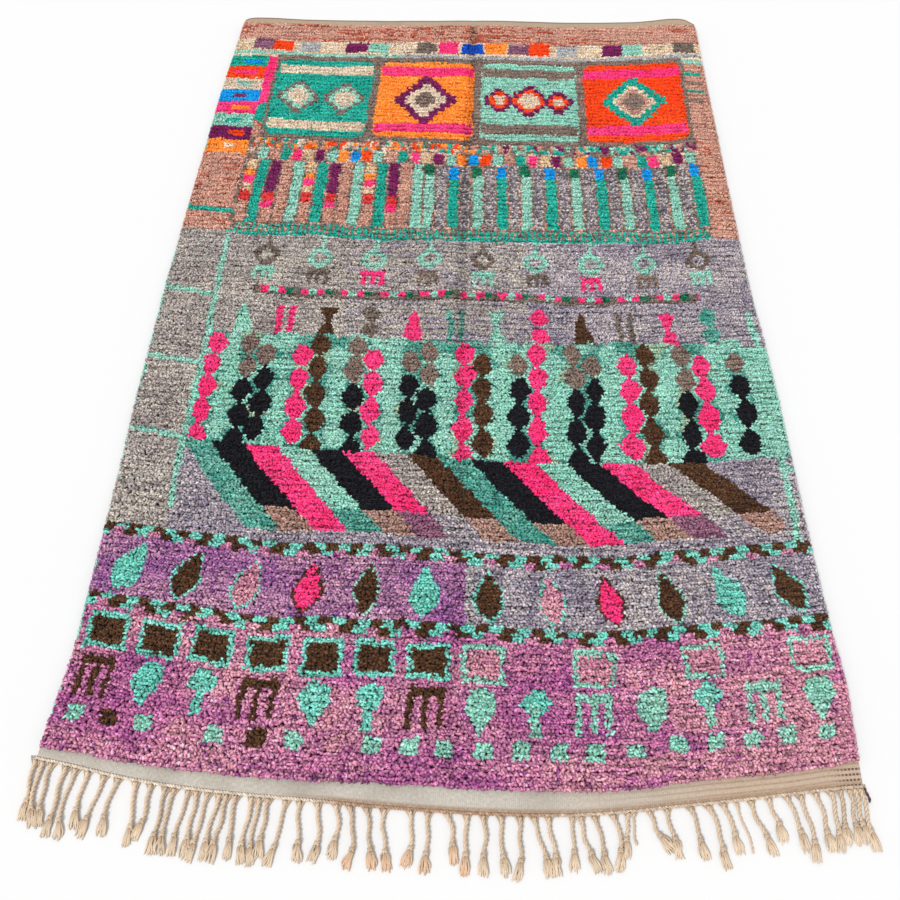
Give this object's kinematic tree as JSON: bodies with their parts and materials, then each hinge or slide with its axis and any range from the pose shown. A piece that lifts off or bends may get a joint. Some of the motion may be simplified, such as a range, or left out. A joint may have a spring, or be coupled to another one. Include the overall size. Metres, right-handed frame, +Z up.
{
  "type": "boujad rug",
  "caption": "Hand-knotted wool rug with shaggy pile in bands of geometric motifs, flat-woven ends and a knotted cord fringe at one end.",
  "frame": {"origin": "on the floor, under the middle of the rug's footprint with its fringe", "axes": "+X across the rug to the right as seen from the fringe, +Y along the rug away from the fringe, +Z up"},
  "size_m": [1.5622, 2.778, 0.02],
  "materials": {
    "pile_wool": "matt knotted wool pile in many dyed colours",
    "undyed_wool": "matt undyed beige wool, flat-woven and plied"
  },
  "bodies": {
    "root": {"rug_cloth": "pile_wool", "fringe_cords": "undyed_wool"}
  },
  "joints": []
}
